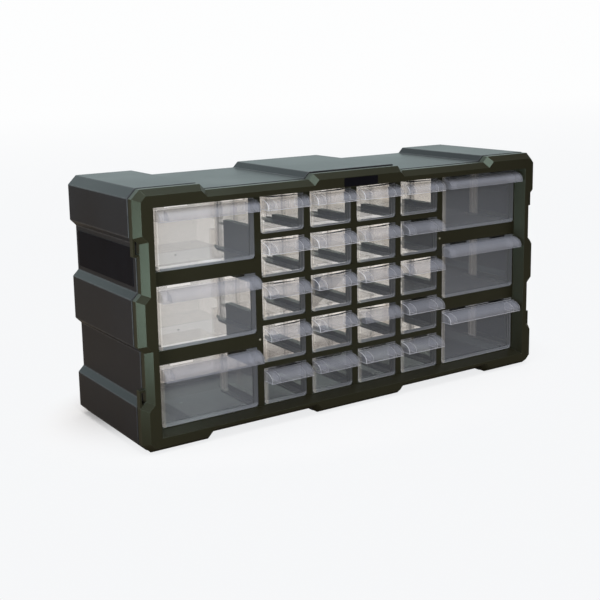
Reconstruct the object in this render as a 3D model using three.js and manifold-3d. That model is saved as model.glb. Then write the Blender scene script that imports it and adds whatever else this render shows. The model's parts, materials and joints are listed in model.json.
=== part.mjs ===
// Drawer organizer: a moulded cabinet with a stepped outline, six large and twenty small clear drawers.
// Sizes are in millimetres. X runs left to right, Y from the front to the back, Z up.
// The origin lies on the floor, in the middle of the whole object.
import * as THREE from "three";
import { mergeVertices } from "three/addons/utils/BufferGeometryUtils.js";
import Module from "manifold-3d";

const wasm = await Module();
wasm.setup();

// Drawer panes and how many there are
const smallPaneWidth = 50;
const smallPaneHeight = 36.75;
const largePaneWidth = 106;
const largePaneHeight = 60;
const smallColumnCount = 4;
const smallRowCount = 5;
const largeRowCount = 3;

// Play of a drawer in its cell
const sidePlay = 0.5;
const topPlay = 0.7;
const seatGap = 0.3;

// Bars between the cells and rims round them
const barWidth = 7;
const smallBarHeight = 5.25;
const largeBarHeight = 13.6;
const sideRim = 23.5;
const bottomRim = 19.2;
const topRim = 17.6;

// Depths, from the front face of the frame
const bevelDepth = 7.8;
const frameEdgeDepth = 14.5;
const gridFrontDepth = 12.5;
const gridThickness = 11;
const seamWidth = 1;
const drawerDepth = 110;
const rearRoom = 31.5;

// Stepped outline of the frame and the shell
const stepDepth = 6;
const cornerChamfer = 8.7;
const cornerBlockWidth = 70;
const middleBlockWidth = 106;
const cornerBlockHeight = 44.3;
const middleBlockHeight = 43.6;

// Front frame
const bevelInset = 5.5;
const frameEdgeDrop = 0.6;
const frameMiddleDrop = 0.8;
const openingSideFlare = 5.5;
const openingBottomFlare = 4.7;
const openingTopFlare = 0.4;
const openingRearMargin = 1.5;
const openingRearSill = 0.7;
const ringWall = 2.4;
const ringFrontWall = 8;

// Guides behind the grid, which carry the drawers
const guideLength = 49;
const guideHeight = 7.5;
const guideFootLift = 0.5;
const ledgeWidth = 8;
const ledgeTipLength = 20;
const outerGuideWall = 2.4;
const coreWall = 1.5;
const windowEvery = 2;

// Loops on the side edges of the frame
const loopReach = 17;
const loopStrip = 2;
const loopEndBar = 2;
const loopHoleLength = 12;
const loopDepth = 6;

// Rear shell
const shellWall = 2.6;
const tongueGap = 0.3;
const rimReach = 5;

// Drawer trays
const paneWall = 1.8;
const paneCornerRadius = 3.5;
const trayInset = 3.5;
const trayWall = 1.5;
const trayFloor = 1.6;
const floorLift = 2.5;
const trayTopDrop = 3;

// Pulls along the top of the panes
const pullReach = 14.3;
const pullDrop = 12.9;
const pullCurveDrop = 8.6;
const pullWall = 1.5;
const pullRibPlace = 10;
const pullRibWall = 1.2;
const tabHeight = 2;
const smallTabLengths = [14, 12];
const largeTabLengths = [11, 34, 11];

// Dividers and the slots that hold them
const dividerPlace = 60.5;
const dividerWall = 1.3;
const dividerGap = 0.3;
const dividerTopDrop = 1.5;
const dividerCornerRadius = 3;
const dividerNotchWidth = 18;
const dividerNotchDepth = 2.5;
const slotRibWidth = 5;
const slotRibReach = 1.3;

// Bare plates where labels sit
const labelWidth = 126;
const labelHeight = 36;
const labelThickness = 0.5;
const labelSetback = 6.5;
const badgeWidth = 42;
const badgeHeight = 8.8;
const badgeThickness = 0.5;
const plateCornerRadius = 1;

// How far a cut runs past the face that it opens, and how finely arcs are divided
const overrun = 1;
const mergeDistance = 0.0001;
const cornerSegments = 4;
const pullSegments = 7;

// Colours, and how rough and clear the surfaces are
const frameColour = 0x2c2e22;
const shellColour = 0x3f4347;
const drawerColour = 0xc9c8c6;
const dividerColour = 0xd2d1ce;
const plateColour = 0x18181c;
const frameRoughness = 0.55;
const shellRoughness = 0.5;
const labelRoughness = 0.4;
const badgeRoughness = 0.35;
const clearRoughness = 0.25;
const clearOpacity = 0.45;

// Sizes that follow from the ones above
const smallCellWidth = smallPaneWidth + 2 * sidePlay;
const largeCellWidth = largePaneWidth + 2 * sidePlay;
const smallCellHeight = smallPaneHeight + seatGap + topPlay;
const largeCellHeight = largePaneHeight + seatGap + topPlay;
const smallStackHeight = smallRowCount * (smallCellHeight + smallBarHeight) - smallBarHeight;
const largeStackHeight = largeRowCount * (largeCellHeight + largeBarHeight) - largeBarHeight;
const stackHeight = Math.max(smallStackHeight, largeStackHeight);
const barCount = smallColumnCount + 1;
const gridWidth = 2 * largeCellWidth + smallColumnCount * smallCellWidth + barCount * barWidth;
const bodyWidth = gridWidth + 2 * sideRim;
const bodyHeight = bottomRim + stackHeight + topRim;
const bodyDepth = gridFrontDepth + drawerDepth + rearRoom;
const pullProud = Math.max(pullReach - gridFrontDepth, 0);
const frontY = pullProud - (bodyDepth + pullProud) / 2;
const backY = frontY + bodyDepth;
const gridFrontY = frontY + gridFrontDepth;
const gridRearY = gridFrontY + gridThickness;
const frameEdgeY = frontY + frameEdgeDepth;
const shellFrontY = frameEdgeY + seamWidth;
const guideRearY = gridRearY + guideLength;
const ledgeTipY = guideRearY + ledgeTipLength;
const cellsTop = bottomRim + stackHeight;
const ledgeTop = floorLift;

// Turns a closed geometry into a solid that can be joined and cut.
function solid(geometry) {
  const bare = geometry.clone();
  bare.deleteAttribute("normal");
  bare.deleteAttribute("uv");
  const merged = mergeVertices(bare, mergeDistance);
  const vertProperties = new Float32Array(merged.attributes.position.array);
  const triVerts = new Uint32Array(merged.index.array);
  return new wasm.Manifold(new wasm.Mesh({ numProp: 3, vertProperties, triVerts }));
}

// Gives a finished solid back as a geometry.
function geometryOf(body) {
  const mesh = body.getMesh();
  const geometry = new THREE.BufferGeometry();
  const places = new Float32Array(mesh.vertProperties);
  geometry.setAttribute("position", new THREE.BufferAttribute(places, mesh.numProp));
  geometry.setIndex(new THREE.BufferAttribute(new Uint32Array(mesh.triVerts), 1));
  geometry.computeVertexNormals();
  return geometry;
}

// A box between two places on each axis.
function box(left, right, front, rear, bottom, top) {
  const geometry = new THREE.BoxGeometry(right - left, rear - front, top - bottom);
  geometry.translate((left + right) / 2, (front + rear) / 2, (bottom + top) / 2);
  return solid(geometry);
}

// A flat outline in X and Z, pushed from one depth to another.
function plate(shape, front, rear) {
  const geometry = new THREE.ExtrudeGeometry(shape, { depth: rear - front, bevelEnabled: false });
  geometry.rotateX(Math.PI / 2);
  geometry.translate(0, rear, 0);
  return solid(geometry);
}

// A box whose front and rear faces differ, for an opening with sloped walls.
function taperedBox(frontFace, rearFace, front, rear) {
  const geometry = new THREE.BoxGeometry(1, 1, 1);
  const places = geometry.attributes.position;
  for (let i = 0; i < places.count; i += 1) {
    const face = places.getY(i) < 0 ? frontFace : rearFace;
    const x = places.getX(i) < 0 ? face.left : face.right;
    const z = places.getZ(i) < 0 ? face.bottom : face.top;
    places.setXYZ(i, x, places.getY(i) < 0 ? front : rear, z);
  }
  return solid(geometry);
}

function joinAll(bodies) {
  return bodies.reduce((whole, body) => whole.add(body));
}

function cutAll(whole, cutters) {
  return cutters.reduce((rest, cutter) => rest.subtract(cutter), whole);
}

// One side of the stepped outline, as distances along it and inwards from it.
function outlineSide(length, cornerBlock, middleBlock, middleDrop) {
  const recessEnd = (length - middleBlock) / 2 - stepDepth;
  const middleStart = recessEnd + stepDepth - middleDrop;
  return [
    [cornerChamfer, 0],
    [cornerBlock, 0],
    [cornerBlock + stepDepth, stepDepth],
    [recessEnd, stepDepth],
    [middleStart, middleDrop],
    [length - middleStart, middleDrop],
    [length - recessEnd, stepDepth],
    [length - cornerBlock - stepDepth, stepDepth],
    [length - cornerBlock, 0],
    [length - cornerChamfer, 0],
  ];
}

// The whole stepped outline, seen from the front and going round against the clock.
function steppedOutline(topMiddleDrop) {
  const half = bodyWidth / 2;
  const across = outlineSide(bodyWidth, cornerBlockWidth, middleBlockWidth, 0);
  const over = outlineSide(bodyWidth, cornerBlockWidth, middleBlockWidth, topMiddleDrop);
  const upright = outlineSide(bodyHeight, cornerBlockHeight, middleBlockHeight, 0);
  const bottom = across.map(([along, inward]) => new THREE.Vector2(along - half, inward));
  const right = upright.map(([along, inward]) => new THREE.Vector2(half - inward, along));
  const top = over.map(([along, inward]) => new THREE.Vector2(half - along, bodyHeight - inward));
  const left = upright.map(([along, inward]) => new THREE.Vector2(inward - half, bodyHeight - along));
  return [...bottom, ...right, ...top, ...left];
}

// Moves every side of an outline inwards by the same distance.
function insetOutline(points, distance) {
  return points.map((point, i) => {
    const before = points[(i + points.length - 1) % points.length];
    const after = points[(i + 1) % points.length];
    const arriving = point.clone().sub(before).normalize();
    const leaving = after.clone().sub(point).normalize();
    const inward = new THREE.Vector2(-arriving.y - leaving.y, arriving.x + leaving.x);
    const reach = 2 / inward.lengthSq();
    return point.clone().addScaledVector(inward, reach * distance);
  });
}

// A rectangle whose bottom and top corners can be rounded.
function roundedRectangle(left, right, bottom, top, bottomRadius, topRadius) {
  const shape = new THREE.Shape();
  const quarter = Math.PI / 2;
  shape.moveTo(left + bottomRadius, bottom);
  shape.lineTo(right - bottomRadius, bottom);
  if (bottomRadius > 0) shape.absarc(right - bottomRadius, bottom + bottomRadius, bottomRadius, -quarter, 0);
  shape.lineTo(right, top - topRadius);
  if (topRadius > 0) shape.absarc(right - topRadius, top - topRadius, topRadius, 0, quarter);
  shape.lineTo(left + topRadius, top);
  if (topRadius > 0) shape.absarc(left + topRadius, top - topRadius, topRadius, quarter, 2 * quarter);
  shape.lineTo(left, bottom + bottomRadius);
  if (bottomRadius > 0) {
    shape.absarc(left + bottomRadius, bottom + bottomRadius, bottomRadius, 2 * quarter, 3 * quarter);
  }
  return new THREE.Shape(shape.extractPoints(cornerSegments).shape);
}

// The six columns of cells, from left to right, with the height of each cell's floor.
function layOutColumns() {
  const kinds = ["large", ...Array(smallColumnCount).fill("small"), "large"];
  const columns = [];
  let left = -gridWidth / 2;
  for (const kind of kinds) {
    const large = kind === "large";
    const width = large ? largeCellWidth : smallCellWidth;
    const height = large ? largeCellHeight : smallCellHeight;
    const pitch = height + (large ? largeBarHeight : smallBarHeight);
    const rowCount = large ? largeRowCount : smallRowCount;
    const floors = Array.from({ length: rowCount }, (_, row) => bottomRim + row * pitch);
    columns.push({ kind, left, right: left + width, height, floors });
    left += width + barWidth;
  }
  return columns;
}

const columns = layOutColumns();

// The sloped opening in the front of the frame, at a depth behind the front face.
function openingAt(depth) {
  const share = depth / gridFrontDepth;
  const side = THREE.MathUtils.lerp(openingSideFlare, openingRearMargin, share);
  const below = THREE.MathUtils.lerp(openingBottomFlare, openingRearSill, share);
  return {
    left: -gridWidth / 2 - side,
    right: gridWidth / 2 + side,
    bottom: bottomRim - below,
    top: cellsTop + openingTopFlare,
  };
}

// A narrow ledge at the foot of a guide. It tapers to the guide behind its straight part.
function ledge(x, direction, floor) {
  const shape = new THREE.Shape([
    new THREE.Vector2(x - direction * coreWall, gridRearY - overrun),
    new THREE.Vector2(x + direction * ledgeWidth, gridRearY - overrun),
    new THREE.Vector2(x + direction * ledgeWidth, guideRearY),
    new THREE.Vector2(x, ledgeTipY),
    new THREE.Vector2(x - direction * coreWall, ledgeTipY),
  ]);
  const thickness = ledgeTop - guideFootLift;
  const geometry = new THREE.ExtrudeGeometry(shape, { depth: thickness, bevelEnabled: false });
  geometry.translate(0, 0, floor + guideFootLift);
  return solid(geometry);
}

// An upright guide between two heights, cored out from behind where it is thick.
function guideWall(left, right, bottom, top) {
  const wall = box(left, right, gridRearY - overrun, guideRearY, bottom, top);
  if (right - left <= 2 * coreWall + overrun) return wall;
  const core = box(
    left + coreWall,
    right - coreWall,
    gridRearY + coreWall,
    guideRearY + overrun,
    bottom + coreWall,
    top - coreWall,
  );
  return wall.subtract(core);
}

// The guides on the bar to the right of a column, up to the next column.
function guidesBetween(column, next) {
  const bodies = [];
  const bothSmall = column.kind === "small" && next.kind === "small";
  const small = column.kind === "small" ? column : next;
  if (bothSmall) {
    for (const floor of small.floors) {
      bodies.push(guideWall(column.right, next.left, floor + guideFootLift, floor + guideHeight));
    }
  } else {
    let wallBottom = small.floors[0] + guideFootLift;
    for (let row = 0; row < small.floors.length; row += windowEvery) {
      const windowBottom = small.floors[row] + guideHeight;
      bodies.push(guideWall(column.right, next.left, wallBottom, windowBottom));
      wallBottom = small.floors[row] + small.height;
    }
  }
  for (const floor of column.floors) bodies.push(ledge(column.right, -1, floor));
  for (const floor of next.floors) bodies.push(ledge(next.left, 1, floor));
  return bodies;
}

// The low guides on the outer side of the two large columns.
function outerGuides() {
  const bodies = [];
  const first = columns[0];
  const last = columns[columns.length - 1];
  for (const floor of first.floors) {
    const bottom = floor + guideFootLift;
    bodies.push(guideWall(first.left - outerGuideWall, first.left, bottom, floor + guideHeight));
    bodies.push(ledge(first.left, 1, floor));
  }
  for (const floor of last.floors) {
    const bottom = floor + guideFootLift;
    bodies.push(guideWall(last.right, last.right + outerGuideWall, bottom, floor + guideHeight));
    bodies.push(ledge(last.right, -1, floor));
  }
  return bodies;
}

// The four loops that stand in the side recesses, next to the corner blocks.
function sideLoops() {
  const loops = [];
  const frameHalf = bodyWidth / 2 - frameEdgeDrop;
  const front = frameEdgeY - loopDepth;
  for (const side of [-1, 1]) {
    for (const upper of [false, true]) {
      const height = (distance) => (upper ? bodyHeight - distance : distance);
      const ends = [height(cornerBlockHeight), height(cornerBlockHeight + loopReach)];
      const holeFar = cornerBlockHeight + loopReach - loopEndBar;
      const hole = [height(holeFar), height(holeFar - loopHoleLength)];
      const outer = side * frameHalf;
      const floor = side * (frameHalf - stepDepth);
      const root = side * (frameHalf - stepDepth - coreWall);
      const inner = side * (frameHalf - loopStrip);
      const sides = [outer, root].sort((a, b) => a - b);
      const holeSides = [inner, floor].sort((a, b) => a - b);
      loops.push({
        body: box(...sides, front, frameEdgeY, Math.min(...ends), Math.max(...ends)),
        hole: box(...holeSides, front, frameEdgeY + overrun, Math.min(...hole), Math.max(...hole)),
      });
    }
  }
  return loops;
}

// The front frame: bevelled stepped rim, grid of cells, guides behind it and side loops.
function makeFrame() {
  const outline = insetOutline(steppedOutline(frameMiddleDrop), frameEdgeDrop);
  const bandDepth = frameEdgeDepth - bevelDepth;
  const slab = new THREE.ExtrudeGeometry(new THREE.Shape(outline), {
    depth: bandDepth,
    bevelThickness: bevelDepth,
    bevelSize: bevelInset,
    bevelOffset: -bevelInset,
    bevelSegments: 1,
  });
  slab.rotateX(Math.PI / 2);
  slab.translate(0, frameEdgeY, 0);
  const reach = bodyWidth;
  const bezel = solid(slab).intersect(box(-reach, reach, frontY - reach, frameEdgeY, -reach, reach));

  const tongueOutline = insetOutline(steppedOutline(frameMiddleDrop), shellWall + tongueGap);
  const tongue = plate(new THREE.Shape(tongueOutline), frameEdgeY - overrun, gridRearY);
  const loops = sideLoops();
  const cores = ringCore();
  let frame = joinAll([bezel, tongue, ...loops.map((loop) => loop.body)]);
  frame = cutAll(frame, [frontOpening(), cores, ...cellOpenings(), ...loops.map((loop) => loop.hole)]);
  const guides = outerGuides();
  for (let i = 0; i + 1 < columns.length; i += 1) {
    guides.push(...guidesBetween(columns[i], columns[i + 1]));
  }
  return frame.add(joinAll(guides));
}

// The opening runs past the front face along its own slope.
function frontOpening() {
  const ahead = openingAt(-overrun);
  return taperedBox(ahead, openingAt(gridFrontDepth), frontY - overrun, gridFrontY);
}

// The rim is hollow from behind, with an even wall round it.
function ringCore() {
  const outer = insetOutline(steppedOutline(frameMiddleDrop), shellWall + tongueGap + ringWall);
  const inner = openingAt(ringFrontWall);
  const front = frontY + ringFrontWall;
  const hollow = plate(new THREE.Shape(outer), front, gridRearY + overrun);
  const keep = box(
    inner.left - ringWall,
    inner.right + ringWall,
    front - overrun,
    gridRearY + 2 * overrun,
    inner.bottom - ringWall,
    inner.top + ringWall,
  );
  return hollow.subtract(keep);
}

function cellOpenings() {
  const cells = [];
  for (const column of columns) {
    for (const floor of column.floors) {
      const front = gridFrontY - overrun;
      const top = floor + column.height;
      cells.push(box(column.left, column.right, front, gridRearY + overrun, floor, top));
    }
  }
  return cells;
}

// The rear shell: a stepped sleeve, open at the front and the back, with a rim round the back.
function makeShell() {
  const outline = steppedOutline(0);
  const sleeve = plate(new THREE.Shape(outline), shellFrontY, backY);
  const insideOutline = new THREE.Shape(insetOutline(outline, shellWall));
  const inside = plate(insideOutline, shellFrontY - overrun, backY - shellWall);
  const rimInset = stepDepth + shellWall + rimReach;
  const sideReach = bodyWidth / 2 - rimInset;
  const front = backY - shellWall - overrun;
  const rear = backY + overrun;
  const opening = box(-sideReach, sideReach, front, rear, rimInset, bodyHeight - rimInset);
  return cutAll(sleeve, [inside, opening]);
}

// The side profile of a pull, measured forwards from the pane and up from its foot.
function pullProfile(paneHeight, wall, foot, root) {
  const top = paneHeight - tabHeight - wall;
  const reach = pullReach - wall;
  const curveFoot = paneHeight - tabHeight - pullCurveDrop;
  const points = [new THREE.Vector2(root, foot)];
  points.push(new THREE.Vector2(-reach, foot));
  for (let i = 0; i < pullSegments; i += 1) {
    const angle = (i / pullSegments) * (Math.PI / 2);
    const forward = reach * Math.cos(angle);
    const up = curveFoot + (top - curveFoot) * Math.sin(angle);
    points.push(new THREE.Vector2(-forward, up));
  }
  points.push(new THREE.Vector2(root, top));
  return points;
}

// A side profile in Y and Z, pushed across from one X to another.
function crosswise(points, left, right) {
  const geometry = new THREE.ExtrudeGeometry(new THREE.Shape(points), {
    depth: right - left,
    bevelEnabled: false,
  });
  geometry.rotateX(Math.PI / 2);
  geometry.rotateZ(Math.PI / 2);
  geometry.translate(left, 0, 0);
  return solid(geometry);
}

// The pull: a curved canopy with closed ends and two ribs inside, in front of the pane.
function makePull(width, height) {
  const half = width / 2;
  const foot = height - pullDrop;
  const whole = crosswise(pullProfile(height, 0, foot, paneWall / 2), -half, half);
  const hollowProfile = pullProfile(height, pullWall, foot - overrun, 0);
  const ribSide = half - pullRibPlace;
  const bays = [
    [-half + pullWall, -ribSide - pullRibWall / 2],
    [-ribSide + pullRibWall / 2, ribSide - pullRibWall / 2],
    [ribSide + pullRibWall / 2, half - pullWall],
  ];
  return cutAll(whole, bays.map(([left, right]) => crosswise(hollowProfile, left, right)));
}

// Short raised tabs along the top edge of a pane, with even gaps between them.
function makeTabs(width, height, lengths) {
  const total = lengths.reduce((sum, length) => sum + length);
  const gap = (width - total) / (lengths.length - 1);
  const tabs = [];
  let left = -width / 2;
  for (const length of lengths) {
    tabs.push(box(left, left + length, 0, paneWall, height - tabHeight - overrun, height));
    left += length + gap;
  }
  return tabs;
}

// A drawer in its own frame: the front of the pane is at zero depth, its foot at zero height.
function makeDrawer(width, height, tabLengths) {
  const half = width / 2;
  const paneTop = height - tabHeight;
  const pane = plate(roundedRectangle(-half, half, 0, paneTop, paneCornerRadius, 0), 0, paneWall);
  const side = half - trayInset;
  const trayTop = height - trayTopDrop;
  const tray = box(-side, side, paneWall / 2, drawerDepth, floorLift, trayTop);
  const insideHalf = side - trayWall;
  const floorTop = floorLift + trayFloor;
  const insideRear = drawerDepth - trayWall;
  const inside = box(-insideHalf, insideHalf, paneWall, insideRear, floorTop, height + overrun);
  const shell = joinAll([pane, tray]).subtract(inside);
  const slotHalf = dividerWall / 2 + dividerGap;
  const ribs = [];
  for (const direction of [-1, 1]) {
    const wallSide = direction * (insideHalf + trayWall / 2);
    const tip = direction * (insideHalf - slotRibReach);
    const [left, right] = [wallSide, tip].sort((a, b) => a - b);
    const floor = floorTop - trayFloor / 2;
    const front = dividerPlace - slotHalf - slotRibWidth;
    ribs.push(box(left, right, front, dividerPlace - slotHalf, floor, trayTop));
    const rear = dividerPlace + slotHalf + slotRibWidth;
    ribs.push(box(left, right, dividerPlace + slotHalf, rear, floor, trayTop));
  }
  return joinAll([shell, makePull(width, height), ...makeTabs(width, height, tabLengths), ...ribs]);
}

// A divider: a plate with rounded top corners and a finger notch, standing in the slots.
function makeDivider(width, height) {
  const half = width / 2 - trayInset - trayWall - dividerGap;
  const bottom = floorLift + trayFloor + dividerGap;
  const top = height - trayTopDrop - dividerTopDrop;
  const front = dividerPlace - dividerWall / 2;
  const rear = dividerPlace + dividerWall / 2;
  const body = plate(roundedRectangle(-half, half, bottom, top, 0, dividerCornerRadius), front, rear);
  const notchHalf = dividerNotchWidth / 2;
  const notchShape = new THREE.Shape([
    new THREE.Vector2(-notchHalf + dividerNotchDepth, top - dividerNotchDepth),
    new THREE.Vector2(notchHalf - dividerNotchDepth, top - dividerNotchDepth),
    new THREE.Vector2(notchHalf + overrun, top + overrun),
    new THREE.Vector2(-notchHalf - overrun, top + overrun),
  ]);
  return body.subtract(plate(notchShape, front - overrun, rear + overrun));
}

// A bare label plate, lying on the recessed left side of the shell.
function makeLabel() {
  const half = labelWidth / 2;
  const shape = roundedRectangle(-half, half, 0, labelHeight, plateCornerRadius, plateCornerRadius);
  const geometry = new THREE.ExtrudeGeometry(shape, { depth: labelThickness, bevelEnabled: false });
  geometry.rotateX(Math.PI / 2);
  geometry.rotateZ(-Math.PI / 2);
  return geometryOf(solid(geometry));
}

// A bare badge plate for the middle of the top rim.
function makeBadge() {
  const half = badgeWidth / 2;
  const shape = roundedRectangle(-half, half, 0, badgeHeight, plateCornerRadius, plateCornerRadius);
  return geometryOf(plate(shape, -badgeThickness, 0));
}

function darkPlastic(color, roughness) {
  return new THREE.MeshStandardMaterial({ color, roughness, metalness: 0 });
}

function clearPlastic(color) {
  return new THREE.MeshStandardMaterial({
    color,
    roughness: clearRoughness,
    metalness: 0,
    transparent: true,
    opacity: clearOpacity,
  });
}

function addMesh(parent, name, geometry, material) {
  const mesh = new THREE.Mesh(geometry, material);
  mesh.name = name;
  parent.add(mesh);
  return mesh;
}

const organizer = new THREE.Group();
addMesh(organizer, "front_frame", geometryOf(makeFrame()), darkPlastic(frameColour, frameRoughness));
addMesh(organizer, "rear_shell", geometryOf(makeShell()), darkPlastic(shellColour, shellRoughness));

const labelMaterial = darkPlastic(plateColour, labelRoughness);
const label = addMesh(organizer, "side_label_plate", makeLabel(), labelMaterial);
const recessBottom = (bodyHeight + middleBlockHeight) / 2 + stepDepth;
const recessTop = bodyHeight - cornerBlockHeight - stepDepth;
const labelY = shellFrontY + labelSetback + labelWidth / 2;
label.position.set(stepDepth - bodyWidth / 2, labelY, (recessBottom + recessTop - labelHeight) / 2);

const badgeMaterial = darkPlastic(plateColour, badgeRoughness);
const badge = addMesh(organizer, "badge_plate", makeBadge(), badgeMaterial);
const rimFaceTop = bodyHeight - frameEdgeDrop - frameMiddleDrop - bevelInset;
const rimFaceBottom = cellsTop + openingTopFlare;
badge.position.set(0, frontY, (rimFaceTop + rimFaceBottom - badgeHeight) / 2);

// One drawer and one divider of each kind serve for all the cells of that kind.
const kinds = {
  small: {
    drawer: geometryOf(makeDrawer(smallPaneWidth, smallPaneHeight, smallTabLengths)),
    divider: geometryOf(makeDivider(smallPaneWidth, smallPaneHeight)),
  },
  large: {
    drawer: geometryOf(makeDrawer(largePaneWidth, largePaneHeight, largeTabLengths)),
    divider: geometryOf(makeDivider(largePaneWidth, largePaneHeight)),
  },
};

// Rows are counted from the top and columns from the left, each kind by itself.
const columnOfKind = { small: 0, large: 0 };
for (const column of columns) {
  columnOfKind[column.kind] += 1;
  column.floors.forEach((floor, index) => {
    const row = column.floors.length - index;
    const place = `${column.kind}_row${row}_col${columnOfKind[column.kind]}`;
    const slot = new THREE.Group();
    slot.position.set((column.left + column.right) / 2, gridFrontY, floor + seatGap);
    addMesh(slot, `drawer_${place}`, kinds[column.kind].drawer, clearPlastic(drawerColour));
    addMesh(slot, `divider_${place}`, kinds[column.kind].divider, clearPlastic(dividerColour));
    organizer.add(slot);
  });
}

export default organizer;
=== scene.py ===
import json
import math

import bmesh
import bpy
from mathutils import Matrix, Vector


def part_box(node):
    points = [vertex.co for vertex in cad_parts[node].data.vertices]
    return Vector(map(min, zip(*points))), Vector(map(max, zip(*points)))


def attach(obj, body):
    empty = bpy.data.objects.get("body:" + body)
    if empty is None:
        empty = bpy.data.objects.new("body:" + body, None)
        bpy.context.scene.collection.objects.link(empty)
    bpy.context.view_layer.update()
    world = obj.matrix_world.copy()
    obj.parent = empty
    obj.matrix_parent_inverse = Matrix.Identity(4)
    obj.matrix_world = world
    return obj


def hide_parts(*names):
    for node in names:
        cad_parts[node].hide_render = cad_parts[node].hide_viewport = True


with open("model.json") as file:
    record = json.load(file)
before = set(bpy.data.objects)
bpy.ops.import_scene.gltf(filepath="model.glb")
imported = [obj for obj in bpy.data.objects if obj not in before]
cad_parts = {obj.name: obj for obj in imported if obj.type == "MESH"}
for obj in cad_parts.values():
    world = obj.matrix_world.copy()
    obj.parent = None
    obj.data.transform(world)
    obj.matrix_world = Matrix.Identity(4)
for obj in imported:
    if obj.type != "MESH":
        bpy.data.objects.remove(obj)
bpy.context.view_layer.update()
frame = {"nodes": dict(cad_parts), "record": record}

# Camera. It stands to the left of the cabinet and a little above its top, as in the photo.
# Its place, aim and lens were matched to the cabinet's corners, steps and panes in a square picture.

picture_width = 600
focal_pixels = 1051.1
axis_across_pixels = 283.9
axis_down_pixels = 242.9
sensor_width = 36

camera_place = Vector((-0.6387, -0.9140, 0.3632))
camera_yaw = math.radians(33.02)
camera_tilt = math.radians(10.25)
camera_roll = math.radians(-1.15)

lens = bpy.data.cameras.new("photo_view")
lens.sensor_width = sensor_width
lens.lens = sensor_width * focal_pixels / picture_width
lens.shift_x = 0.5 - axis_across_pixels / picture_width
lens.shift_y = axis_down_pixels / picture_width - 0.5
camera = bpy.data.objects.new("photo_view", lens)
turn = Matrix.Rotation(-camera_yaw, 4, "Z") @ Matrix.Rotation(math.pi / 2 - camera_tilt, 4, "X")
camera.matrix_world = Matrix.Translation(camera_place) @ turn @ Matrix.Rotation(camera_roll, 4, "Z")
bpy.context.scene.collection.objects.link(camera)
bpy.context.scene.camera = camera

# Front frame. One moulding of dark olive plastic: bevelled rim, sloped opening, grid of cells and guides.
# The mould leaves every edge slightly round and the faces finely grained.

merge_distance = 0.00001
flat_angle = math.radians(0.5)
sharp_angle = math.radians(25)
frame_edge_radius = 0.0005
frame_edge_steps = 2

frame_olive = (0.015, 0.013, 0.007)
frame_olive_deep = (0.012, 0.010, 0.005)
frame_edge_sheen = (0.050, 0.062, 0.046)
frame_sheen_tint = (0.74, 1.0, 0.86)

noise_middle = 0.5
flow_scale = 9.0
flow_detail = 3.0
flow_low = 0.35
flow_high = 0.65
flow_dulling = 0.14
scuff_scale = 160.0
scuff_low = 0.4
scuff_high = 0.7
edge_wear = 0.35
scuff_wear = 0.45
grain_scale = 2600.0
grain_dulling = 0.06
grain_height = 0.00004


class Signal:
    """An output socket that takes part in sums, so that shader maths reads as an expression."""

    def __init__(self, shader, socket):
        self.shader = shader
        self.socket = socket

    def out(self, name):
        return Signal(self.shader, self.socket.node.outputs[name])

    def _sum(self, operation, first, second):
        return self.shader.node("ShaderNodeMath", {"operation": operation}, {0: first, 1: second})

    def __add__(self, other):
        return self._sum("ADD", self, other)

    def __radd__(self, other):
        return self._sum("ADD", other, self)

    def __sub__(self, other):
        return self._sum("SUBTRACT", self, other)

    def __rsub__(self, other):
        return self._sum("SUBTRACT", other, self)

    def __mul__(self, other):
        return self._sum("MULTIPLY", self, other)

    def __rmul__(self, other):
        return self._sum("MULTIPLY", other, self)

    def __pow__(self, other):
        return self._sum("POWER", self, other)

    def __gt__(self, other):
        return self._sum("GREATER_THAN", self, other)


class Shader:
    """A node tree in the making. Each node takes its settings first and then its sockets."""

    def __init__(self, tree):
        self.tree = tree
        self.tree.nodes.clear()

    def node(self, kind, settings=None, sockets=None):
        made = self.tree.nodes.new(kind)
        for name, value in (settings or {}).items():
            setattr(made, name, value)
        for name, value in (sockets or {}).items():
            socket = made.inputs[name]
            if isinstance(value, Signal):
                self.tree.links.new(value.socket, socket)
            elif socket.type == "RGBA" and len(value) == 3:
                socket.default_value = (*value, 1)
            else:
                socket.default_value = value
        shown = [output for output in made.outputs if output.enabled]
        return Signal(self, shown[0]) if shown else None

    def blend(self, amount, first, second):
        """A colour between two others."""
        settings = {"data_type": "RGBA"}
        return self.node("ShaderNodeMix", settings, {0: amount, 6: first, 7: second}).out(2)

    def noise(self, scale, detail=2.0):
        """Soft noise between 0 and 1 over the piece, in its own coordinates."""
        place = self.node("ShaderNodeTexCoord").out("Object")
        return self.node("ShaderNodeTexNoise", None, {"Vector": place, "Scale": scale, "Detail": detail})

    def kept(self, attribute):
        """A number that the mesh keeps at its points or faces."""
        return self.node("ShaderNodeAttribute", {"attribute_name": attribute}).out("Fac")

    def rise(self, value, low, high):
        """An even rise from 0 to 1 while the value goes from low to high."""
        return self.node("ShaderNodeMapRange", None, {0: value, 1: low, 2: high})

    def finish(self, surface):
        self.node("ShaderNodeOutputMaterial", None, {"Surface": surface})


def new_material(name):
    material = bpy.data.materials.new(name)
    material.use_nodes = True
    return material, Shader(material.node_tree)


def merged_copy(node):
    """The node's triangles as one closed mesh with its flat faces whole."""
    mesh = bmesh.new()
    mesh.from_mesh(frame["nodes"][node].data)
    bmesh.ops.remove_doubles(mesh, verts=mesh.verts, dist=merge_distance)
    bmesh.ops.dissolve_limit(mesh, angle_limit=flat_angle, verts=mesh.verts, edges=mesh.edges)
    return mesh


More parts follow.
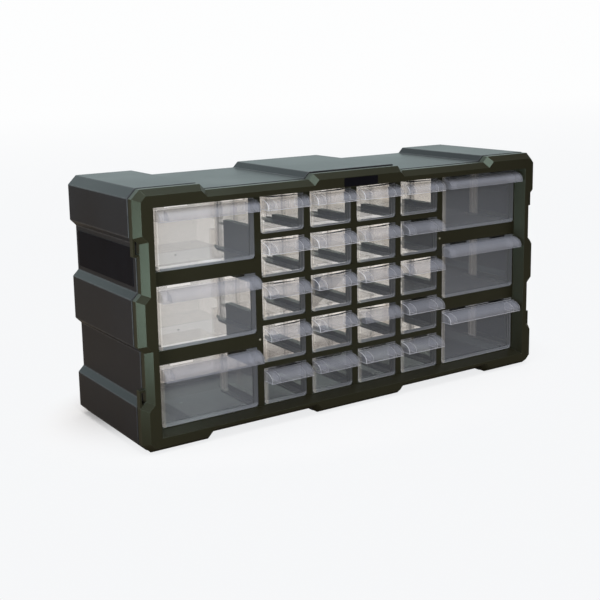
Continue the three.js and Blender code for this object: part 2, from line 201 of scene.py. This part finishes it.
def round_edges(mesh, radius, steps):
    """Rounds the sharp edges and marks the new narrow faces, which take a little wear on the moulded pieces
    and a painted highlight on the clear drawers.
    """
    mark = mesh.faces.layers.float.new("rounded_edge")
    sharp = [edge for edge in mesh.edges if edge.calc_face_angle() > sharp_angle]
    made = bmesh.ops.bevel(
        mesh,
        geom=sharp,
        offset=radius,
        affect="EDGES",
        segments=steps,
        profile=0.5,
        material=-1,
        clamp_overlap=True,
    )
    for face in made["faces"]:
        face[mark] = 1
    return mesh


def add_piece(mesh, name, material, body, slot, *stands_for):
    """Makes an object of a finished mesh, with its place in the mesh, and lets it ride on its body."""
    data = bpy.data.meshes.new(name)
    mesh.to_mesh(data)
    mesh.free()
    data.shade_smooth()
    data.set_sharp_from_angle(angle=sharp_angle)
    data.materials.append(material)
    piece = bpy.data.objects.new(name, data)
    bpy.context.scene.collection.objects.link(piece)
    piece.modifiers.new("even_shading", "WEIGHTED_NORMAL").keep_sharp = True
    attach(piece, body)
    if stands_for:
        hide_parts(*stands_for)


def moulded_plastic(name, colour, deep_colour, edge_colour, sheen_tint, sheen, roughness, grain):
    """Moulded plastic: uneven tone from the flow of the melt, satin grain, edges worn to another tone."""
    material, shader = new_material(name)
    flow = shader.noise(flow_scale, flow_detail)
    tone = shader.blend(shader.rise(flow, flow_low, flow_high), deep_colour, colour)
    scuff = shader.rise(shader.noise(scuff_scale), scuff_low, scuff_high)
    tone = shader.blend(shader.kept("rounded_edge") * (edge_wear + scuff * scuff_wear), tone, edge_colour)
    fine = shader.noise(grain_scale)
    matt = roughness + (flow - noise_middle) * flow_dulling + (fine - noise_middle) * grain_dulling
    bump = shader.node("ShaderNodeBump", None, {"Strength": grain, "Distance": grain_height, "Height": fine})
    shader.finish(shader.node("ShaderNodeBsdfPrincipled", None, {
        "Base Color": tone,
        "Roughness": matt,
        "Normal": bump,
        "Specular IOR Level": sheen,
        "Specular Tint": sheen_tint,
    }))
    return material


frame_plastic = moulded_plastic(
    "olive_frame_plastic",
    frame_olive,
    frame_olive_deep,
    frame_edge_sheen,
    frame_sheen_tint,
    sheen=0.55,
    roughness=0.36,
    grain=0.5,
)
frame_mesh = round_edges(merged_copy("front_frame"), frame_edge_radius, frame_edge_steps)
add_piece(frame_mesh, "moulded_front_frame", frame_plastic, "cabinet", "frame_plastic", "front_frame")

# Rear shell. One sleeve of dark grey plastic with the frame's stepped outline, open at the back.
# It is pushed on behind the frame and leaves a thin dark seam there.

shell_edge_radius = 0.0009
shell_edge_steps = 3
shell_grey = (0.0125, 0.012, 0.016)
shell_grey_deep = (0.011, 0.010, 0.013)
shell_edge_sheen = (0.040, 0.040, 0.046)
shell_sheen_tint = (0.78, 0.97, 0.97)

shell_plastic = moulded_plastic(
    "grey_shell_plastic",
    shell_grey,
    shell_grey_deep,
    shell_edge_sheen,
    shell_sheen_tint,
    sheen=0.28,
    roughness=0.36,
    grain=0.45,
)
shell_mesh = round_edges(merged_copy("rear_shell"), shell_edge_radius, shell_edge_steps)
add_piece(shell_mesh, "moulded_rear_shell", shell_plastic, "cabinet", "shell_plastic", "rear_shell")

# Plates. Two pieces of bare black film, one on the recessed left side and one on the top rim.
# They are stuck on, and their edges are only just rounded.

plate_edge_radius = 0.00012
plate_edge_steps = 1
film_black = (0.003, 0.003, 0.005)
film_grey = (0.006, 0.006, 0.009)
film_roughness = 0.26
film_shine = 0.05
smear_scale = 45.0
smear_detail = 4.0
smear_dulling = 0.16
ripple_scale = 220.0
ripple_strength = 0.15
ripple_height = 0.00005


def black_film():
    """Black film with faint smears and ripples in its shine."""
    material, shader = new_material("bare_black_film")
    smear = shader.noise(smear_scale, smear_detail)
    bump = shader.node("ShaderNodeBump", None, {
        "Strength": ripple_strength,
        "Distance": ripple_height,
        "Height": shader.noise(ripple_scale),
    })
    shader.finish(shader.node("ShaderNodeBsdfPrincipled", None, {
        "Base Color": shader.blend(smear, film_black, film_grey),
        "Roughness": film_roughness + smear * smear_dulling,
        "Normal": bump,
        "Specular IOR Level": film_shine,
    }))
    return material


film = black_film()
for node, name in (("side_label_plate", "bare_side_label"), ("badge_plate", "bare_badge")):
    plate_mesh = round_edges(merged_copy(node), plate_edge_radius, plate_edge_steps)
    add_piece(plate_mesh, name, film, "cabinet", "label_plate", node)

# Drawers and dividers. Each drawer is one moulding of clear, faintly cloudy plastic with soft edges.
# It has a pane, a curved pull whose lavender veil is partly a frosted top and partly painted light from
# above, a tray, and ribs on the side walls of the tray.
# A flat divider of the same plastic is pushed in between the ribs.

drawer_edge_radius = 0.0003
drawer_edge_steps = 2
pull_reach = 0.0143
pane_wall = 0.0018
rim_width = 0.005
foot_width = 0.0045
side_width = 0.0064
slot_start = 0.0535
slot_end = 0.0645
drawer_depth = 0.110
rear_wall = 0.0016
large_half_width = 0.04
face_margin = 0.0002
slot_fade = 0.0005
side_fade = 0.0004
rim_fade = 0.0012

tray_tone = (0.65, 0.72, 0.86)
pull_frost_and_light_tone = (0.37, 0.40, 0.49)
lit_band_tone = (0.86, 0.86, 0.86)
edge_highlight_tone = (0.80, 0.83, 0.92)
wall_tint = (0.985, 0.976, 0.965)
pane_tint = (0.826, 0.816, 0.798)
thin_wall_index = 1.001

cloud_scale = 30.0
veil_everywhere = 0.004
veil_in_clouds = 0.010
veil_on_front = 0.048
large_front_painted_light = 0.035
veil_when_slanted = 0.45
slant_power = 6
pull_frost_and_light = 0.13
edge_painted_highlight = 0.18
pull_edge_painted_highlight = 0.14
veil_at_back = 0.05
rim_painted_light = 0.10
veil_at_foot = 0.08
slot_painted_light = 0.08
large_slot_painted_light = 0.26
veil_roughness = 0.35
cloud_roughness = 0.1
veil_shine = 0.5


def soft_rise(shader, value, low, high):
    """A soft rise from 0 to 1 while the value goes from low to high."""
    smooth = {"interpolation_type": "SMOOTHSTEP"}
    return shader.node("ShaderNodeMapRange", smooth, {0: value, 1: low, 2: high})


def mix(shader, amount, first, second):
    """A surface between two others."""
    return shader.node("ShaderNodeMixShader", None, {0: amount, 1: first, 2: second})


def note_places(mesh, low, high):
    """Keeps each point's place from the middle, front and foot of its pane, and the pane's half width."""
    across = mesh.verts.layers.float.new("from_middle")
    inward = mesh.verts.layers.float.new("from_front")
    upward = mesh.verts.layers.float.new("from_foot")
    half = mesh.verts.layers.float.new("half_width")
    middle = (low.x + high.x) / 2
    for vert in mesh.verts:
        vert[across] = vert.co.x - middle
        vert[inward] = vert.co.y - low.y - pull_reach
        vert[upward] = vert.co.z - low.z
        vert[half] = (high.x - low.x) / 2


def clear_plastic(name):
    """Clear plastic seen as thin walls, each with a light veil.

    The veil is stronger on the pull, the rounded edges and the slot ribs, at the left rim and foot of the
    pane, on the rear wall, and where a wall is seen at a low angle. On the rounded edges it is a painted
    highlight; on the pull it is partly a frosted top and partly painted light from above; at the slot ribs
    and the left rim it is painted light through the plastic, strongest in large drawers. Large panes also
    take more veil than small ones, as painted light on the same plastic.
    """
    material, shader = new_material(name)

    def rise(value, low, high):
        return soft_rise(shader, value, low, high)

    inward = shader.kept("from_front")
    across = shader.kept("from_middle")
    half_width = shader.kept("half_width")
    edge = shader.kept("rounded_edge")
    on_pull = inward * -1 > face_margin
    on_front = pane_wall + face_margin - inward > 0
    on_pane = on_front * (1 - on_pull)
    at_back = inward > drawer_depth - rear_wall
    large = half_width > large_half_width
    from_side = half_width - shader.node("ShaderNodeMath", {"operation": "ABSOLUTE"}, {0: across})
    at_slot = rise(inward, slot_start - slot_fade, slot_start)
    at_slot = at_slot * (1 - rise(inward, slot_end, slot_end + slot_fade))
    at_slot = at_slot * (1 - rise(from_side, side_width, side_width + side_fade))
    # Only the strip along the pane's left end takes this painted light.
    lit_left_rim = (1 - rise(half_width + across, rim_width - rim_fade, rim_width)) * on_pane
    at_foot = (1 - rise(shader.kept("from_foot"), foot_width - rim_fade, foot_width)) * on_front
    slant = shader.node("ShaderNodeLayerWeight", None, {"Blend": 0.5}).out("Facing")
    cloud = shader.noise(cloud_scale)

    veil = veil_everywhere + cloud * veil_in_clouds + slant ** slant_power * veil_when_slanted
    # Large panes take more veil than small ones: painted light on the same plastic.
    veil = veil + on_front * (veil_on_front + large * large_front_painted_light) + on_pull * pull_frost_and_light
    # The rounded edges take a painted highlight: a stronger veil in a pale blue-white tone, standing for
    # light caught in the edges.
    veil = veil + edge * (edge_painted_highlight + on_pull * pull_edge_painted_highlight) + at_back * veil_at_back
    # Painted light: the pane's left rim and the slot ribs take a stronger, paler veil, standing for light
    # through the plastic, strongest in large drawers.
    veil = veil + lit_left_rim * rim_painted_light + at_foot * veil_at_foot
    veil = veil + at_slot * (slot_painted_light + large * large_slot_painted_light)
    # The pull's lavender tone and stronger veil are partly a frosted top and partly painted light from
    # above.
    colour = shader.blend(on_pull, tray_tone, pull_frost_and_light_tone)
    # Painted light on the left rim and the slot ribs.
    colour = shader.blend(lit_left_rim, colour, lit_band_tone)
    colour = shader.blend(at_slot, colour, lit_band_tone)
    # Painted highlight on the rounded edges.
    colour = shader.blend(edge, colour, edge_highlight_tone)
    veiled = shader.node("ShaderNodeBsdfPrincipled", None, {
        "Base Color": colour,
        "Roughness": veil_roughness + cloud * cloud_roughness,
        "Specular IOR Level": veil_shine,
    })
    ray = shader.node("ShaderNodeLightPath")
    looked_through = ray.out("Is Camera Ray") + ray.out("Is Transmission Ray")
    leaving = shader.node("ShaderNodeNewGeometry").out("Backfacing")
    passing = looked_through * leaving

    def see_through(tint):
        """Both faces of a thin wall: open where a look enters, and glass that hardly bends where it leaves.

        The two kinds are counted apart, so that a look can pass through more walls.
        """
        entered = shader.node("ShaderNodeBsdfTransparent", None, {"Color": tint})
        glassy = {"Color": tint, "Roughness": 0, "IOR": thin_wall_index}
        left = shader.node("ShaderNodeBsdfRefraction", None, glassy)
        return mix(shader, passing, entered, left)

    thin = mix(shader, on_pane, see_through(wall_tint), see_through(pane_tint))
    shader.finish(mix(shader, veil, thin, veiled))
    return material


drawer_plastic = clear_plastic("clear_drawer_plastic")
divider_plastic = clear_plastic("clear_divider_plastic")
for body, members in frame["record"]["behaviour"]["bodies"].items():
    if body == "cabinet":
        continue
    drawer, divider = members
    for node, material, slot in (
        (drawer, drawer_plastic, "drawer_plastic"),
        (divider, divider_plastic, "divider_plastic"),
    ):
        mesh = round_edges(merged_copy(node), drawer_edge_radius, drawer_edge_steps)
        note_places(mesh, *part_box(drawer))
        add_piece(mesh, f"moulded_{node}", material, body, slot, node)

# Rail pips. Two small pale pips, where an upright rail meets a wide bar: lower left and upper right.
# They are pale plastic and stand just proud of the frame's face.

pip_radius = 0.0011
pip_height = 0.0003
mark_segments = 16
taper_share = 0.7
pip_tone = (0.30, 0.29, 0.25)
pip_tone_deep = (0.24, 0.23, 0.19)


def small_mark(name, place, axis, radius, height, material, body, slot):
    """A low tapered disc standing on its face along the given axis."""
    mesh = bmesh.new()
    seat = Vector(place) + Vector(axis) * height / 2
    way = Vector(axis).to_track_quat("Z", "Y").to_matrix().to_4x4()
    bmesh.ops.create_cone(
        mesh,
        cap_ends=True,
        segments=mark_segments,
        radius1=radius,
        radius2=radius * taper_share,
        depth=height,
        matrix=Matrix.Translation(seat) @ way,
    )
    mesh.faces.layers.float.new("rounded_edge")
    add_piece(mesh, name, material, body, slot)


pip_plastic = moulded_plastic(
    "pale_pip_plastic",
    pip_tone,
    pip_tone_deep,
    pip_tone,
    frame_sheen_tint,
    sheen=0.4,
    roughness=0.5,
    grain=0.3,
)
pane_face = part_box("drawer_large_row1_col1")[0].y + pull_reach
for side, row_above, large_col, small_col in (("left", 2, 1, 1), ("right", 1, 2, 4)):
    large_ends = [corner.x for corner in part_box(f"drawer_large_row1_col{large_col}")]
    small_ends = [corner.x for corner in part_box(f"drawer_small_row1_col{small_col}")]
    rail = (min(large_ends[1], small_ends[1]) + max(large_ends[0], small_ends[0])) / 2
    foot_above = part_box(f"drawer_large_row{row_above}_col{large_col}")[0].z
    head_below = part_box(f"drawer_large_row{row_above + 1}_col{large_col}")[1].z
    small_mark(
        f"rail_pip_{side}",
        place=(rail, pane_face, (foot_above + head_below) / 2),
        axis=(0, -1, 0),
        radius=pip_radius,
        height=pip_height,
        material=pip_plastic,
        body="cabinet",
        slot="frame_plastic",
    )

# Gate marks. One dull spot on the floor of each large drawer, riding with the drawer.
# The melt ran into the mould there, and a short round stub was cut off.

gate_across = -0.010
gate_depth = 0.0435
gate_radius = 0.0013
gate_height = 0.0003
tray_floor_top = 0.00415
gate_tone = (0.16, 0.18, 0.175)
gate_tone_deep = (0.11, 0.125, 0.12)

gate_plastic = moulded_plastic(
    "dull_gate_plastic",
    gate_tone,
    gate_tone_deep,
    gate_tone,
    frame_sheen_tint,
    sheen=0.4,
    roughness=0.5,
    grain=0.3,
)
for row in (1, 2, 3):
    for col in (1, 2):
        low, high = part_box(f"drawer_large_row{row}_col{col}")
        across = (low.x + high.x) / 2 + gate_across
        small_mark(
            f"gate_mark_large_row{row}_col{col}",
            place=(across, low.y + pull_reach + gate_depth, low.z + tray_floor_top),
            axis=(0, 0, 1),
            radius=gate_radius,
            height=gate_height,
            material=gate_plastic,
            body=f"large_row{row}_col{col}",
            slot="drawer_plastic",
        )

# Floor and light. A plain pale floor of matt card runs out into a white backdrop.
# The floor fades to the backdrop's own white away from the cabinet, and keeps the shadow near it; in front
# of the cabinet it also glows, so the shadow there is faint.
# Soft light comes from the left and from above, and a bright card lies low at the left.

floor_half = 30.0
backdrop_white = (0.985, 0.988, 0.990)
floor_white = (0.925, 0.933, 0.945)
floor_pale = (0.82, 0.82, 0.83)
floor_bounce = (0.19, 0.16, 0.12)
room_bright = (0.88, 1.05, 1.05)
room_dim = (0.13, 0.12, 0.09)
fill_warm = (1.0, 0.95, 0.90)
fill_level = 0.7

fade_squeeze = (0.6, 1.0, 1.0)
fade_start = 0.15
fade_end = 0.205
front_start = 0.10
front_end = -0.05
front_glow = 0.85
near_distance = 0.5
far_distance = 6.0
sky_turn_low = 0.25
sky_turn_high = 0.75

floor_mesh = bmesh.new()
bmesh.ops.create_grid(floor_mesh, x_segments=1, y_segments=1, size=floor_half)
floor_data = bpy.data.meshes.new("pale_floor")
floor_mesh.to_mesh(floor_data)
floor_mesh.free()
floor = bpy.data.objects.new("pale_floor", floor_data)
bpy.context.scene.collection.objects.link(floor)

floor_material, floor_shader = new_material("pale_floor_paint")
floor_place = floor_shader.node("ShaderNodeTexCoord").out("Object")
squeeze = {0: floor_place, 1: fade_squeeze}
squeezed = floor_shader.node("ShaderNodeVectorMath", {"operation": "MULTIPLY"}, squeeze)
away = floor_shader.node("ShaderNodeVectorMath", {"operation": "LENGTH"}, {0: squeezed}).out("Value")
depth = floor_shader.node("ShaderNodeSeparateXYZ", None, {0: floor_place}).out("Y")
far = soft_rise(floor_shader, away, fade_start, fade_end)
ahead = soft_rise(floor_shader, depth, front_start, front_end)
ray = floor_shader.node("ShaderNodeLightPath")
looked_at = ray.out("Is Camera Ray") + ray.out("Is Transmission Ray")
paint = floor_shader.node("ShaderNodeBsdfDiffuse", None, {
    "Color": floor_shader.blend(looked_at, floor_bounce, floor_pale),
})
distant = soft_rise(floor_shader, away, near_distance, far_distance)
glow = floor_shader.node("ShaderNodeEmission", None, {
    "Color": floor_shader.blend(distant, floor_white, backdrop_white),
})
# In front of the cabinet the floor also glows for the camera, which lightens the shadow there.
glowing = looked_at * (far + (1 - far) * ahead * front_glow)
floor_material.cycles.emission_sampling = "NONE"
floor_shader.finish(mix(floor_shader, glowing, paint, glow))
floor_data.materials.append(floor_material)

world = bpy.data.worlds.new("studio")
world.use_nodes = True
bpy.context.scene.world = world
sky = Shader(world.node_tree)
ray = sky.node("ShaderNodeLightPath")
seen = sky.node("ShaderNodeClamp", None, {0: ray.out("Is Camera Ray") + ray.out("Is Transmission Ray")})
way = sky.node("ShaderNodeTexCoord").out("Generated")
depth = sky.node("ShaderNodeSeparateXYZ", None, {0: way}).out("Y")
behind = soft_rise(sky, depth, sky_turn_low, sky_turn_high)
mirrored = sky.node("ShaderNodeBackground", None, {"Color": sky.blend(behind, room_dim, room_bright)})
backdrop = sky.node("ShaderNodeBackground", None, {"Color": backdrop_white})
fill = sky.node("ShaderNodeBackground", None, {"Color": fill_warm, "Strength": fill_level})
unseen = mix(sky, ray.out("Is Glossy Ray"), fill, mirrored)
sky.node("ShaderNodeOutputWorld", None, {"Surface": mix(sky, seen, unseen, backdrop)})


def softbox(name, place, aim, width, height, power, colour):
    """A flat rectangular lamp that faces its aim, lights the object and isn't seen itself."""
    lamp = bpy.data.lights.new(name, "AREA")
    lamp.color = colour
    lamp.shape = "RECTANGLE"
    lamp.size = width
    lamp.size_y = height
    lamp.energy = power
    box = bpy.data.objects.new(name, lamp)
    way = (Vector(aim) - Vector(place)).to_track_quat("-Z", "Y").to_matrix().to_4x4()
    box.matrix_world = Matrix.Translation(place) @ way
    box.visible_camera = False
    box.visible_transmission = False
    bpy.context.scene.collection.objects.link(box)


cabinet_middle = (0.0, 0.0, 0.12)
plain_white = (1.0, 1.0, 1.0)
card_white = (0.92, 1.0, 0.96)
softbox(
    "left_softbox",
    place=(-1.05, -0.95, 0.35),
    aim=cabinet_middle,
    width=0.9,
    height=0.6,
    power=9.0,
    colour=plain_white,
)
softbox(
    "low_left_card",
    place=(-0.98, -0.34, 0.006),
    aim=(-0.98, -0.34, 1.0),
    width=0.98,
    height=0.46,
    power=10.8,
    colour=card_white,
)
softbox(
    "top_softbox",
    place=(-0.2, -0.45, 1.6),
    aim=cabinet_middle,
    width=1.4,
    height=1.0,
    power=20,
    colour=plain_white,
)

bpy.context.scene.view_settings.view_transform = "Standard"
